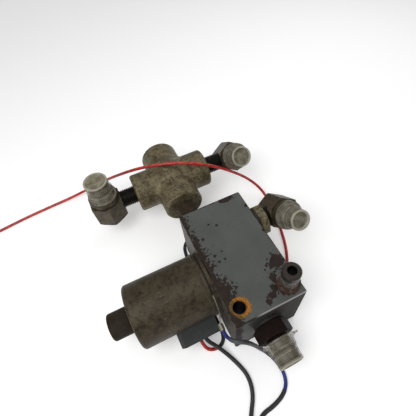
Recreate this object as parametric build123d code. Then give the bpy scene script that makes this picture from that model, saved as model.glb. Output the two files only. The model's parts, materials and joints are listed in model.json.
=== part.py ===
from build123d import *
from math import cos, sin, tan, radians, sqrt, pi
import os

# Solenoid operated hydraulic valve: a steel block that stands on its mounting face, with the
# solenoid on its left wall, a straight adapter on the near end, a swivel elbow on the right wall
# and a forged cross with two elbows on the far end.
# Millimetres. The origin is the middle of the mounting face, +Z is up, -Y is the near end and
# -X is the side of the solenoid.

# Valve block
block_width = 55.0
block_length = 98.0
block_height = 57.0
block_edge = 0.9
mount_hole_radius = 4.5
mount_hole_side = 19.0
mount_hole_from_end = 11.0
gallery_radius = 5.0

# Solenoid, along X on the left wall
coil_y = -2.7
coil_z = 33.0
coil_radius = 24.8
coil_length = 58.2
coil_wall = 2.6
coil_rounding = 2.5
coil_lip = 0.7
coil_lip_length = 2.2
end_plate_thickness = 2.4
gasket_radius = 24.0
gasket_thickness = 1.2
bobbin_barrel = 10.0
bobbin_wall = 1.3
winding_radius = 19.2
tube_radius = 8.0
tube_wall = 1.3
tube_cap = 2.6
tube_stud_radius = 5.0
tube_stud_length = 13.0
tube_seat_depth = 6.5
pole_length = 20.0
armature_length = 29.0
armature_stroke = 2.5
armature_groove = 0.8
pin_radius = 1.5
pin_in_armature = 5.0
coil_nut_radius = 10.4
coil_nut_length = 16.4
coil_nut_rounding = 1.8
coil_nut_bore_depth = 13.6
nut_seal_thickness = 1.0
nut_seal_radius = 9.4

# Cartridge in the block, depths from the left wall
cartridge_head_radius = 12.0
cartridge_head_depth = 9.0
cartridge_nose_radius = 9.0
cartridge_depth = 40.5
port_one_depth = 12.0
port_two_depth = 26.2
port_groove_width = 4.4
port_groove_radius = 7.2
port_hole_radius = 1.6
port_hole_count = 4
seal_width = 2.4
seal_groove_depth = 1.3
pin_wall = 1.5
spool_radius = 4.4
spool_length = 20.5
spool_land = 1.2
spool_waist_length = 14.5
spool_waist_radius = 3.0
spool_start_gap = 0.5
spring_pilot_radius = 2.2
spring_pilot_length = 2.0
spring_wire = 0.9
spring_radius = 3.4
spring_turns = 5
spring_seat_thickness = 2.5
spring_seat_hole = 1.5

# Hexagons: how far their bevel stays outside the flats
bevel_outside_flats = 0.5

# Clearances
thread_gap = 0.1
slide_gap = 0.05
pin_gap = 0.1
rest_gap = 0.2
assembly_gap = 0.3
cap_gap = 0.35

# Lead box on the solenoid
box_angle = 30.0
box_half_width = 8.0
box_rise = 10.8
box_start = 6.6
box_length = 31.0
box_chamfer = 3.0
box_wall = 1.6
box_floor = 2.8
potting_below_rim = 1.0

# Ground terminal under the solenoid
terminal_thickness = 0.8
terminal_inner = 24.2
terminal_outer = 26.4
terminal_height_above = 17.0
terminal_height_below = 4.0
tongue_width = 4.4
crimp_radius = 1.9
crimp_length = 5.0

# Mounting screw on its washers
screw_radius = 4.0
screw_length = 65.0
screw_head_radius = 6.5
screw_head_height = 8.0
screw_socket = 6.0
screw_socket_depth = 4.6
screw_hole_gap = 0.2
plain_washer_radius = 8.4
plain_washer_thickness = 1.6
plain_washer_count = 2
sleeve_radius = 6.6
sleeve_height = 7.3
spring_washer_radius = 6.3
spring_washer_thickness = 2.0
spring_washer_split = 1.2

# Studs for 24 degree cone couplings, and their caps
seat_inset = 2.85
seat_cone_depth = 4.7
seat_cone_growth = 1.0
seat_depth = 11.0
tube_wall_in_seat = 1.0
stud_chamfer = 1.0
cap_wall = 1.1
cap_taper = 1.6
cap_flange = 2.0
cap_flange_height = 1.4
cap_end_gap = 1.6
cap_edge = 0.8
elbow_cap_offset = 0.5

# Straight adapter on the near end
adapter_z = 30.0
adapter_thread_radius = 7.9
adapter_thread_length = 12.0
adapter_seal_radius = 11.4
adapter_seal_thickness = 1.6
adapter_collar_radius = 11.7
adapter_collar_height = 1.0
adapter_hex = 24.0
adapter_hex_length = 9.9
adapter_stud_radius = 7.9
adapter_stud_length = 16.3
adapter_cap_offset = 2.0

# Pipe threads, nipples and the forged cross
pipe_radius = 8.5
pipe_bore = 5.5
pipe_chamfer = 1.0
pipe_engagement = 12.0
pipe_thread_depth = 14.0
cross_x = -15.5
cross_z = 37.0
cross_from_block = 57.2
cross_reach = 36.0
cross_arm_radius = 17.8
cross_core_radius = 21.5
cross_fillet = 6.0
cross_mouth_edge = 2.5
cross_bore = 6.5
plug_length = 11.0
plug_socket = 8.0
plug_socket_depth = 6.0
plug_set_in = 0.6

# Elbows
left_elbow_spread = 63.5
right_elbow_spread = 65.0
left_elbow_hex = 27.5
right_elbow_hex = 26.0
side_elbow_hex = 25.0
elbow_heel = 13.5
elbow_shoulder = 14.5
elbow_collar_height = 5.0
elbow_collar_inset = 0.6
elbow_thread_depth = 9.0
elbow_engagement = 8.5
left_stud_radius = 8.9
right_stud_radius = 7.9
side_stud_radius = 6.9
left_stud_length = 17.1
right_stud_length = 14.1
side_stud_length = 15.1
right_elbow_tilt = 41.0
side_elbow_tilt = 38.0

# Side port on the right wall
side_port_y = 21.6
side_port_z = 45.5
side_elbow_from_wall = 24.5
lock_nut_hex = 24.0
lock_nut_thickness = 6.5
side_seal_radius = 11.4
side_seal_thickness = 1.8

# Free leads, their plug and their connector
red_lead_radius = 1.4
black_lead_radius = 1.6
blue_lead_radius = 1.4
plug_width = 12.0
plug_height = 7.0
plug_body_length = 16.0
plug_edge = 0.8
plug_collar_length = 3.0
plug_collar_inset = 1.0
lead_pitch = 5.2
lead_exit_along = 0.7
lead_exit_across = 3.0
lead_exit_pitch = 3.8
connector_radius = 2.5
connector_length = 18.0
connector_barrel = 7.0

os.makedirs("parts", exist_ok=True)


def save(name, shape):
    shape.label = name
    export_step(shape, "parts/" + name + ".step")


def rod(radius, start, end):
    start = Vector(*start)
    end = Vector(*end)
    return extrude(Plane(origin=start, z_dir=end - start) * Circle(radius), (end - start).length)


def rod_x(radius, x0, x1, y, z):
    return rod(radius, (x0, y, z), (x1, y, z))


def rod_y(radius, y0, y1, x, z):
    return rod(radius, (x, y0, z), (x, y1, z))


def rod_z(radius, z0, z1, x, y):
    return rod(radius, (x, y, z0), (x, y, z1))


def turned(plane, points):
    """A solid of revolution about the plane's Z axis, from (radius, height) points."""
    outline = make_face(Polyline(*[(r, 0, h) for r, h in points], close=True))
    return plane * revolve(outline, Axis.Z)


def ring(plane, outer, inner, low, high):
    return turned(plane, [(inner, low), (outer, low), (outer, high), (inner, high)])


def hexagon(across_flats, height, plane):
    return extrude(plane * RegularPolygon(across_flats / sqrt(3), 6), height)


def hexagon_bar(across_flats, height, plane):
    """A hexagonal bar with its corners bevelled at both ends."""
    start = across_flats / 2 + bevel_outside_flats
    beyond = across_flats / sqrt(3) + 1
    drop = (beyond - start) * tan(radians(30))
    keep = turned(plane, [(0, 0), (start, 0), (beyond, drop), (beyond, height - drop), (start, height),
                          (0, height)])
    return hexagon(across_flats, height, plane) & keep


left_wall = -block_width / 2
right_wall = block_width / 2
near_end = -block_length / 2
far_end = block_length / 2
hole_y = near_end + mount_hole_from_end
cross_y = far_end + cross_from_block

# The solenoid's plane lies on the left wall and its Z axis points away from the block
coil_plane = Plane(origin=(left_wall, coil_y, coil_z), x_dir=(0, 1, 0), z_dir=(-1, 0, 0))
gasket_start = end_plate_thickness
housing_start = gasket_start + gasket_thickness
housing_end = housing_start + coil_length
tube_inner = tube_radius - tube_wall
armature_end = housing_end - tube_cap - rest_gap
armature_start = armature_end - armature_length
pole_end = armature_start - armature_stroke - rest_gap
pole_start = pole_end - pole_length
tube_hole = tube_radius + slide_gap

# How far the lead box stands out from the axis, and how deep its pocket is
box_reach = coil_radius + box_rise
box_depth = box_rise - box_floor

# Depths in the cartridge
spool_bore_radius = spool_radius + slide_gap
spool_bore_start = tube_seat_depth + pin_wall
spool_start = spool_bore_start + spool_start_gap
spool_end = spool_start + spool_length
spring_end = cartridge_depth - spring_seat_thickness
pin_hole_radius = pin_radius + slide_gap

# Where the ports of the block lie
near_port_x = left_wall + port_two_depth
cross_port_x = left_wall + port_one_depth
left_elbow_x = cross_x - left_elbow_spread
right_elbow_x = cross_x + right_elbow_spread
side_elbow_x = right_wall + side_elbow_from_wall


def valve_block():
    body = Box(block_width, block_length, block_height, align=(Align.CENTER, Align.CENTER, Align.MIN))
    body = chamfer(body.edges(), block_edge)
    for side in (-1, 1):
        body -= rod_z(mount_hole_radius, -1, block_height + 1, side * mount_hole_side, hole_y)
    head = cartridge_head_radius + thread_gap
    nose = cartridge_nose_radius + thread_gap
    body -= turned(coil_plane, [(0, 1), (head, 1), (head, -cartridge_head_depth),
                                (nose, -cartridge_head_depth), (nose, -cartridge_depth - 1),
                                (0, -cartridge_depth - 1)])
    adapter_hole = adapter_thread_length + 2
    body -= rod_y(adapter_thread_radius + thread_gap, near_end - 1, near_end + adapter_hole,
                  near_port_x, adapter_z)
    body -= rod_y(gallery_radius, near_end, coil_y, near_port_x, adapter_z)
    body -= rod_y(pipe_radius + thread_gap, far_end - pipe_thread_depth, far_end + 1,
                  cross_port_x, cross_z)
    body -= rod_y(gallery_radius, coil_y, far_end, cross_port_x, cross_z)
    body -= rod_x(pipe_radius + thread_gap, right_wall - pipe_thread_depth, right_wall + 1,
                  side_port_y, side_port_z)
    body -= rod_x(gallery_radius, cross_port_x, right_wall, side_port_y, side_port_z)
    return body


# Solenoid
def coil_end_plate():
    return ring(coil_plane, coil_radius + coil_lip, tube_hole, 0, gasket_start)


def coil_gasket():
    return ring(coil_plane, gasket_radius, tube_hole, gasket_start, housing_start)


def coil_housing():
    lip = coil_radius + coil_lip
    inside = coil_radius - coil_wall
    body = turned(coil_plane, [
        (inside, housing_start), (lip, housing_start), (lip, housing_start + coil_lip_length),
        (coil_radius, housing_start + coil_lip_length + coil_lip), (coil_radius, housing_end),
        (tube_hole, housing_end), (tube_hole, housing_end - coil_wall), (inside, housing_end - coil_wall)])
    rim = body.edges().group_by(Axis.X)[0].sort_by(SortBy.RADIUS)[-1]
    return fillet(rim, coil_rounding)


def coil_bobbin():
    flange = coil_radius - coil_wall - assembly_gap
    low = housing_start
    high = housing_end - coil_wall
    return turned(coil_plane, [
        (tube_hole, low), (flange, low), (flange, low + bobbin_wall), (bobbin_barrel, low + bobbin_wall),
        (bobbin_barrel, high - bobbin_wall), (flange, high - bobbin_wall), (flange, high),
        (tube_hole, high)])


def coil_winding():
    return ring(coil_plane, winding_radius, bobbin_barrel, housing_start + bobbin_wall,
                housing_end - coil_wall - bobbin_wall)


def guide_tube():
    stud_end = housing_end + nut_seal_thickness + tube_stud_length
    return turned(coil_plane, [
        (tube_inner, -tube_seat_depth), (tube_radius, -tube_seat_depth), (tube_radius, housing_end),
        (tube_stud_radius, housing_end), (tube_stud_radius, stud_end - stud_chamfer),
        (tube_stud_radius - stud_chamfer, stud_end), (0, stud_end), (0, housing_end - tube_cap),
        (tube_inner, housing_end - tube_cap)])


def pole_piece():
    return ring(coil_plane, tube_inner, pin_radius + pin_gap, pole_start, pole_end)


def armature():
    radius = tube_inner - slide_gap
    body = turned(coil_plane, [
        (0, armature_start + pin_in_armature), (pin_radius, armature_start + pin_in_armature),
        (pin_radius, armature_start), (radius, armature_start), (radius, armature_end),
        (0, armature_end)])
    # Two grooves let the oil pass from one end of the armature to the other
    for side in (-1, 1):
        body -= rod_x(armature_groove, left_wall - armature_start + 1, left_wall - armature_end - 1,
                      coil_y + side * radius, coil_z)
    return body


def push_pin():
    start = left_wall - armature_start - pin_in_armature
    end = left_wall + spool_start - pin_gap
    return rod_x(pin_radius, start, end, coil_y, coil_z)


def nut_seal():
    return ring(coil_plane, nut_seal_radius, tube_stud_radius + thread_gap, housing_end,
                housing_end + nut_seal_thickness)


def coil_nut():
    low = housing_end + nut_seal_thickness
    high = low + coil_nut_length
    body = turned(coil_plane, [(0, low), (coil_nut_radius, low), (coil_nut_radius, high), (0, high)])
    body = fillet(body.edges().filter_by(GeomType.CIRCLE), coil_nut_rounding)
    bore_end = left_wall - low - coil_nut_bore_depth
    return body - rod_x(tube_stud_radius + thread_gap, left_wall - low, bore_end, coil_y, coil_z)


# Cartridge
seal_between_ports = (port_one_depth + port_two_depth) / 2
seal_behind_ports = port_two_depth + gallery_radius + seal_width


def cartridge_body():
    body = turned(coil_plane, [
        (tube_hole, 0), (cartridge_head_radius, 0), (cartridge_head_radius, -cartridge_head_depth),
        (cartridge_nose_radius, -cartridge_head_depth), (cartridge_nose_radius, -cartridge_depth),
        (spool_bore_radius, -cartridge_depth), (spool_bore_radius, -spool_bore_start),
        (pin_hole_radius, -spool_bore_start), (pin_hole_radius, -tube_seat_depth),
        (tube_hole, -tube_seat_depth)])
    for depth in (port_one_depth, port_two_depth):
        half = port_groove_width / 2
        body -= ring(coil_plane, cartridge_head_radius, port_groove_radius, -depth - half, -depth + half)
        for count in range(port_hole_count):
            angle = radians(360 * count / port_hole_count)
            x = left_wall + depth
            rim = (x, coil_y + cartridge_head_radius * cos(angle), coil_z + cartridge_head_radius * sin(angle))
            body -= rod(port_hole_radius, (x, coil_y, coil_z), rim)
    groove = cartridge_nose_radius - seal_groove_depth
    for depth in (seal_between_ports, seal_behind_ports):
        half = seal_width / 2
        body -= ring(coil_plane, cartridge_head_radius, groove, -depth - half, -depth + half)
    return body


def cartridge_seals():
    groove = cartridge_nose_radius - seal_groove_depth
    half = seal_width / 2
    outer = cartridge_nose_radius + thread_gap
    seals = [ring(coil_plane, outer, groove, -depth - half, -depth + half)
             for depth in (seal_between_ports, seal_behind_ports)]
    return Compound(children=seals)


def spool():
    waist_start = spool_start + spool_land
    waist_end = waist_start + spool_waist_length
    return turned(coil_plane, [
        (0, -spool_start), (spool_radius, -spool_start), (spool_radius, -waist_start),
        (spool_waist_radius, -waist_start), (spool_waist_radius, -waist_end),
        (spool_radius, -waist_end), (spool_radius, -spool_end), (spring_pilot_radius, -spool_end),
        (spring_pilot_radius, -spool_end - spring_pilot_length), (0, -spool_end - spring_pilot_length)])


def return_spring():
    height = spring_end - spool_end - spring_wire
    coil = Helix(height / spring_turns, height, spring_radius)
    wire = sweep(Plane(origin=coil @ 0, z_dir=coil % 0) * Circle(spring_wire / 2), path=coil)
    start = left_wall + spool_end + spring_wire / 2
    return Plane(origin=(start, coil_y, coil_z), x_dir=(0, 1, 0), z_dir=(1, 0, 0)) * wire


def spring_seat():
    return ring(coil_plane, spool_bore_radius, spring_seat_hole, -cartridge_depth, -spring_end)


# Lead box: a shell that follows the solenoid, open where the leads come out
box_out = Vector(0, -cos(radians(box_angle)), -sin(radians(box_angle)))
box_plane = Plane(origin=(left_wall - box_start, coil_y, coil_z), x_dir=(-1, 0, 0), z_dir=box_out)


def box_prism(length, half_width, low, high):
    prism = Box(length, 2 * half_width, high - low, align=(Align.CENTER, Align.CENTER, Align.MIN))
    return box_plane * Pos(box_length / 2, 0, low) * prism


def junction_box():
    shell = Box(box_length, 2 * box_half_width, box_reach, align=(Align.CENTER, Align.CENTER, Align.MIN))
    far_edges = shell.edges().filter_by(Axis.Z).group_by(Axis.X)[-1]
    shell = box_plane * Pos(box_length / 2, 0, 0) * chamfer(far_edges, box_chamfer)
    shell -= rod_x(coil_radius, left_wall, left_wall - housing_end, coil_y, coil_z)
    shell -= box_prism(box_length - 2 * box_wall, box_half_width - box_wall, box_reach - box_depth,
                       box_reach + 1)
    return shell


def box_potting():
    return box_prism(box_length - 2 * box_wall, box_half_width - box_wall, box_reach - box_depth,
                     box_reach - potting_below_rim)


# Where the leads start on the potting and on the ground terminal
def potting_point(along, across):
    return box_plane.from_local_coords((along, across, box_reach - potting_below_rim))


terminal_x = left_wall - gasket_start - gasket_thickness / 2
crimp_x = terminal_x - 2.9
crimp_z = coil_z + 0.5
crimp_start = -36.0
crimp_end = crimp_start - crimp_length


def ground_terminal():
    half = terminal_thickness / 2
    strap = ring(coil_plane, terminal_outer, terminal_inner, gasket_start + gasket_thickness / 2 - half,
                 gasket_start + gasket_thickness / 2 + half)
    reach = terminal_outer + 1
    height = terminal_height_above + terminal_height_below
    keep = Box(4, reach, height, align=(Align.CENTER, Align.MAX, Align.MIN))
    strap = strap & (Pos(terminal_x, coil_y, coil_z - terminal_height_below) * keep)
    # The tongue leaves the strap straight, then leans away from the block to the crimp
    bend_y = coil_y - terminal_outer - 0.6
    outline = Polyline(
        (terminal_x + half, coil_y - terminal_inner - 0.6), (terminal_x + half, bend_y - 0.2),
        (crimp_x + half, crimp_start), (crimp_x + half, crimp_start - 1.0),
        (crimp_x - half, crimp_start - 1.0), (crimp_x - half, crimp_start + 0.2),
        (terminal_x - half, bend_y), (terminal_x - half, coil_y - terminal_inner - 0.6), close=True)
    tongue = Pos(0, 0, crimp_z - tongue_width / 2) * extrude(make_face(outline), tongue_width)
    crimp = rod_y(crimp_radius, crimp_start, crimp_end, crimp_x, crimp_z)
    return strap + tongue + crimp


# Mounting screw, from the block's top upwards
washers_top = block_height + plain_washer_count * plain_washer_thickness
sleeve_top = washers_top + sleeve_height
head_bottom = sleeve_top + spring_washer_thickness
head_top = head_bottom + screw_head_height
screw_plane = Plane(origin=(mount_hole_side, hole_y, 0), z_dir=(0, 0, 1))
screw_hole = screw_radius + screw_hole_gap


def mounting_screw():
    body = turned(screw_plane, [
        (0, head_top), (screw_head_radius - 0.8, head_top), (screw_head_radius, head_top - 0.8),
        (screw_head_radius, head_bottom), (screw_radius, head_bottom),
        (screw_radius, head_bottom - screw_length + stud_chamfer),
        (screw_radius - stud_chamfer, head_bottom - screw_length), (0, head_bottom - screw_length)])
    return body - hexagon(screw_socket, screw_socket_depth + 1, screw_plane.offset(head_top - screw_socket_depth))


def spring_washer():
    body = ring(screw_plane, spring_washer_radius, screw_hole, sleeve_top, head_bottom)
    slot = Box(spring_washer_radius, spring_washer_split, spring_washer_thickness,
               align=(Align.MIN, Align.CENTER, Align.MIN))
    return body - Pos(mount_hole_side, hole_y, sleeve_top) * Rot(0, 0, 215) * slot


def spacer_sleeve():
    return ring(screw_plane, sleeve_radius, screw_hole, washers_top, sleeve_top)


def plain_washers():
    washers = []
    for count in range(plain_washer_count):
        low = block_height + count * plain_washer_thickness
        high = low + plain_washer_thickness
        edge = 0.25
        washers.append(turned(screw_plane, [
            (screw_hole, low), (plain_washer_radius - edge, low), (plain_washer_radius, low + edge),
            (plain_washer_radius, high - edge), (plain_washer_radius - edge, high), (screw_hole, high)]))
    return Compound(children=washers)


# Studs and caps, on a plane that lies on the shoulder and points out of the fitting
def add_stud(body, shoulder, radius, length, passage_depth):
    body += turned(shoulder, [(0, -stud_chamfer), (radius, -stud_chamfer), (radius, length - stud_chamfer),
                              (radius - stud_chamfer, length), (0, length)])
    seat = radius - seat_inset
    return body - turned(shoulder, [
        (0, length), (seat + seat_cone_growth, length), (seat, length - seat_cone_depth),
        (seat, length - seat_depth), (seat - tube_wall_in_seat, length - seat_depth),
        (seat - tube_wall_in_seat, -passage_depth), (0, -passage_depth)])


def stud_cap(shoulder, radius, length, offset):
    inside = radius + cap_gap
    end = length + cap_end_gap
    return turned(shoulder, [
        (inside + cap_taper, offset), (inside + cap_taper + cap_wall + cap_flange, offset),
        (inside + cap_taper + cap_wall + cap_flange, offset + cap_flange_height),
        (inside + cap_taper + cap_wall, offset + cap_flange_height),
        (inside + cap_wall, end + cap_wall - cap_edge), (inside + cap_wall - cap_edge, end + cap_wall),
        (0, end + cap_wall), (0, end), (inside, end)])


# Straight adapter
adapter_plane = Plane(origin=(near_port_x, near_end, adapter_z), x_dir=(1, 0, 0), z_dir=(0, -1, 0))
adapter_collar_top = adapter_seal_thickness + adapter_collar_height
adapter_shoulder = adapter_collar_top + adapter_hex_length


def near_adapter():
    body = hexagon_bar(adapter_hex, adapter_hex_length, adapter_plane.offset(adapter_collar_top))
    body += turned(adapter_plane, [
        (0, -adapter_thread_length), (adapter_thread_radius - stud_chamfer, -adapter_thread_length),
        (adapter_thread_radius, stud_chamfer - adapter_thread_length),
        (adapter_thread_radius, adapter_seal_thickness), (adapter_collar_radius, adapter_seal_thickness),
        (adapter_collar_radius, adapter_collar_top), (0, adapter_collar_top)])
    return add_stud(body, adapter_plane.offset(adapter_shoulder), adapter_stud_radius,
                    adapter_stud_length, adapter_shoulder + adapter_thread_length)


def near_adapter_seal():
    return ring(adapter_plane, adapter_seal_radius, adapter_thread_radius + thread_gap, 0,
                adapter_seal_thickness)


def near_cap():
    return stud_cap(adapter_plane.offset(adapter_shoulder), adapter_stud_radius, adapter_stud_length,
                    adapter_cap_offset)


# Cross
def cross_fitting():
    body = Sphere(cross_core_radius)
    arm = Cylinder(cross_arm_radius, cross_reach, align=(Align.CENTER, Align.CENTER, Align.MIN))
    turns = [Rot(0, 0, 90 * count) * Rot(0, 90, 0) for count in range(4)]
    for turn in turns:
        body += turn * arm
    inner = [edge for edge in body.edges() if edge.center().length < cross_core_radius + cross_fillet]
    body = fillet(inner, cross_fillet)
    mouths = [edge for edge in body.edges().filter_by(GeomType.CIRCLE)
              if edge.center().length > cross_reach - 0.1]
    body = fillet(mouths, cross_mouth_edge)
    thread = Cylinder(pipe_radius + thread_gap, pipe_thread_depth,
                      align=(Align.CENTER, Align.CENTER, Align.MAX))
    passage = Cylinder(cross_bore, cross_reach, align=(Align.CENTER, Align.CENTER, Align.MIN))
    for turn in turns:
        body -= turn * Pos(0, 0, cross_reach) * thread
        body -= turn * passage
    return Pos(cross_x, cross_y, cross_z) * body


def cross_plug():
    mouth = Plane(origin=(cross_x, cross_y + cross_reach - plug_set_in, cross_z), z_dir=(0, -1, 0))
    body = turned(mouth, [(0, 0), (pipe_radius - pipe_chamfer, 0), (pipe_radius, pipe_chamfer),
                          (pipe_radius, plug_length), (0, plug_length)])
    return body - hexagon(plug_socket, plug_socket_depth + 1, mouth.offset(-1))


def nipple(start, end):
    plane = Plane(origin=start, z_dir=Vector(*end) - Vector(*start))
    length = (Vector(*end) - Vector(*start)).length
    return turned(plane, [
        (pipe_bore, 0), (pipe_radius - pipe_chamfer, 0), (pipe_radius, pipe_chamfer),
        (pipe_radius, length - pipe_chamfer), (pipe_radius - pipe_chamfer, length), (pipe_bore, length)])


def cross_nipple():
    return nipple((cross_port_x, far_end - pipe_engagement, cross_z),
                  (cross_x, cross_y - cross_reach + pipe_engagement, cross_z))


def left_nipple():
    return nipple((cross_x - cross_reach + pipe_engagement, cross_y, cross_z),
                  (left_elbow_x + left_elbow_hex / 2 - elbow_engagement, cross_y, cross_z))


def right_nipple():
    return nipple((cross_x + cross_reach - pipe_engagement, cross_y, cross_z),
                  (right_elbow_x - right_elbow_hex / 2 + elbow_engagement, cross_y, cross_z))


def side_nipple():
    return nipple((right_wall - pipe_engagement, side_port_y, side_port_z),
                  (side_elbow_x - side_elbow_hex / 2 + elbow_engagement, side_port_y, side_port_z))


# Elbows: a piece of hexagonal bar with the pipe in one of its flats and a stud for the cap on its end
def elbow_plane(centre, inlet, tilt):
    return Plane(origin=centre, x_dir=(inlet, 0, 0), z_dir=(0, -sin(radians(tilt)), cos(radians(tilt))))


left_elbow_plane = elbow_plane((left_elbow_x, cross_y, cross_z), 1, 0)
right_elbow_plane = elbow_plane((right_elbow_x, cross_y, cross_z), -1, 90 - right_elbow_tilt)
side_elbow_plane = elbow_plane((side_elbow_x, side_port_y, side_port_z), -1, 90 - side_elbow_tilt)


def elbow(plane, across_flats, stud_radius, stud_length):
    inlet_face = across_flats / 2
    heel_plane = Plane(origin=(0, 0, -elbow_heel), x_dir=(cos(pi / 6), sin(pi / 6), 0))
    body = hexagon_bar(across_flats, elbow_heel + elbow_shoulder - elbow_collar_height, heel_plane)
    body += turned(Plane.XY, [(0, 0), (inlet_face - elbow_collar_inset, 0),
                              (inlet_face - elbow_collar_inset, elbow_shoulder), (0, elbow_shoulder)])
    body = add_stud(body, Plane.XY.offset(elbow_shoulder), stud_radius, stud_length, elbow_shoulder)
    body -= rod_x(stud_radius - seat_inset - tube_wall_in_seat, 0, inlet_face, 0, 0)
    body -= rod_x(pipe_radius + thread_gap, inlet_face - elbow_thread_depth, inlet_face + 1, 0, 0)
    return plane * body


def elbow_cap(plane, stud_radius, stud_length):
    return stud_cap(plane.offset(elbow_shoulder), stud_radius, stud_length, elbow_cap_offset)


# Side port fastening
side_plane = Plane(origin=(right_wall, side_port_y, side_port_z), x_dir=(0, 1, 0), z_dir=(1, 0, 0))


def side_seal():
    return ring(side_plane, side_seal_radius, pipe_radius + thread_gap, 0, side_seal_thickness)


def side_lock_nut():
    nut = hexagon_bar(lock_nut_hex, lock_nut_thickness, side_plane.offset(side_seal_thickness))
    return nut - rod_x(pipe_radius + thread_gap, right_wall, side_elbow_x, side_port_y, side_port_z)


# Leads: straight runs joined by tangent arcs, each arc as large as its two runs allow
def lead(name, points, radius):
    corners = [Vector(*point) for point in points]
    radii = []
    for before, here, after in zip(corners, corners[1:], corners[2:]):
        turn = radians((here - before).get_angle(after - here))
        shorter = min((here - before).length, (after - here).length)
        radii.append(0.45 * shorter / tan(turn / 2))
    path = FilletPolyline(*corners, radius=radii)
    tube = sweep(Plane(origin=path @ 0, z_dir=path % 0) * Circle(radius), path=path)
    print(name, "length", round(path.length, 1), "radii", [round(value, 1) for value in radii])
    print(name, "volume", round(tube.volume, 1), "section by length", round(pi * radius**2 * path.length, 1))
    return tube


# The two leads end side by side in the plug, which lies on the floor
plug_out = Vector(-0.5, -0.866, 0).normalized()
plug_across = Vector(0.866, -0.5, 0).normalized()
plug_face = Vector(-41.95, -102.6, plug_height / 2)
plug_plane = Plane(origin=plug_face, x_dir=plug_across, z_dir=plug_out)


def plug_point(side, back):
    return tuple(plug_face + plug_across * (side * lead_pitch / 2) - plug_out * back)


red_start = potting_point(box_length / 2 + lead_exit_along, lead_exit_across)
black_start = potting_point(box_length / 2 + lead_exit_along - lead_exit_pitch, 0)
red_points = [
    tuple(red_start), tuple(red_start + box_out * 5.0),
    (-48.6, -40.9, 5.0), (-44.0, -43.2, 2.0), (-36.6, -43.0, 1.4), (-31.8, -37.0, 1.4),
    (-31.8, -24.0, 1.4), (-32.3, 2.0, 1.4), (-32.0, 38.0, 1.4), (-29.0, 55.0, 1.4),
    (-14.0, 61.0, 1.4), (12.0, 60.8, 1.4), (29.0, 56.0, 1.4), (35.5, 42.0, 1.4),
    (34.4, 24.0, 1.4), (33.4, 9.0, 1.4), (33.0, -3.0, 1.4), (37.0, -10.4, 1.4),
    (44.6, -11.4, 1.4), (49.6, -4.6, 1.4), (56.4, 8.0, 1.4), (63.2, 28.0, 1.4),
    (68.6, 46.0, 1.4), (70.5, 62.0, 2.5), (67.5, 76.0, 10.0),
    (55.0, 83.4, 25.0), (38.0, 86.6, 41.0), (22.0, 89.9, 53.0), (6.0, 94.6, 60.0),
    (-12.0, 104.0, 61.0), (-34.7, 114.6, 57.6), (-50.0, 124.5, 50.0), (-68.4, 141.0, 34.0),
    (-83.7, 155.0, 18.6), (-99.0, 163.6, 7.6), (-118.7, 166.6, 2.0), (-140.0, 165.8, 1.4),
    (-168.0, 163.4, 1.4), (-194.8, 159.4, 1.4), (-205.0, 157.4, 2.5), (-212.0, 156.0, 2.5)]
black_points = [
    tuple(black_start), tuple(black_start + box_out * 5.0),
    (-40.9, -43.0, 8.0), (-35.6, -51.4, 3.0), (-31.9, -59.6, 1.6), (-29.0, -68.6, 1.6),
    (-29.5, -77.0, 1.6), (-32.6, -84.6, 1.6), (-37.6, -91.0, 1.6), plug_point(-1, 4.6),
    plug_point(-1, 0)]
blue_points = [
    (crimp_x, crimp_end, crimp_z), (crimp_x, crimp_end - 3.8, crimp_z),
    (-32.3, -48.9, 37.0), (-29.4, -52.8, 39.8), (-24.6, -55.0, 38.3), (-20.2, -56.2, 30.5),
    (-16.4, -57.4, 20.5), (-12.2, -59.4, 10.0), (-8.2, -62.8, 3.6), (-4.8, -69.4, 1.4),
    (-3.4, -78.6, 1.4), (-5.9, -87.4, 1.4), (-12.6, -92.6, 1.4), (-22.0, -95.2, 1.4),
    (-31.5, -96.0, 1.4), plug_point(1, 4.6), plug_point(1, 0)]


def lead_plug():
    centred = (Align.CENTER, Align.CENTER, Align.MIN)
    collar = Box(plug_width - 2 * plug_collar_inset, plug_height - 2 * plug_collar_inset,
                 plug_collar_length, align=centred)
    shell = Box(plug_width, plug_height, plug_body_length, align=centred)
    shell = fillet(shell.edges().filter_by(Axis.Z), plug_edge)
    latch = Pos(0, -plug_height / 2, plug_body_length * 0.45) * Box(4, 1.6, 5, align=centred)
    body = collar + Pos(0, 0, plug_collar_length) * (shell + latch)
    return plug_plane * body


def red_connector():
    end = Vector(*red_points[-1])
    plane = Plane(origin=end, z_dir=end - Vector(*red_points[-2]))
    body = turned(plane, [
        (0, 0), (connector_radius - 0.6, 0), (connector_radius, 0.6),
        (connector_radius, connector_barrel), (connector_radius - 0.5, connector_barrel + 0.5),
        (connector_radius - 0.5, connector_length - 0.6), (connector_radius - 1.1, connector_length),
        (0, connector_length)])
    return body


save("valve_block", valve_block())
save("coil_end_plate", coil_end_plate())
save("coil_gasket", coil_gasket())
save("coil_housing", coil_housing())
save("coil_bobbin", coil_bobbin())
save("coil_winding", coil_winding())
save("guide_tube", guide_tube())
save("pole_piece", pole_piece())
save("armature", armature())
save("push_pin", push_pin())
save("nut_seal", nut_seal())
save("coil_nut", coil_nut())
save("cartridge_body", cartridge_body())
save("cartridge_seals", cartridge_seals())
save("spool", spool())
save("return_spring", return_spring())
save("spring_seat", spring_seat())
save("junction_box", junction_box())
save("box_potting", box_potting())
save("ground_terminal", ground_terminal())
save("mounting_screw", mounting_screw())
save("spring_washer", spring_washer())
save("spacer_sleeve", spacer_sleeve())
save("plain_washers", plain_washers())
save("near_adapter", near_adapter())
save("near_adapter_seal", near_adapter_seal())
save("near_cap", near_cap())
save("cross_nipple", cross_nipple())
save("cross_fitting", cross_fitting())
save("cross_plug", cross_plug())
save("left_nipple", left_nipple())
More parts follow.
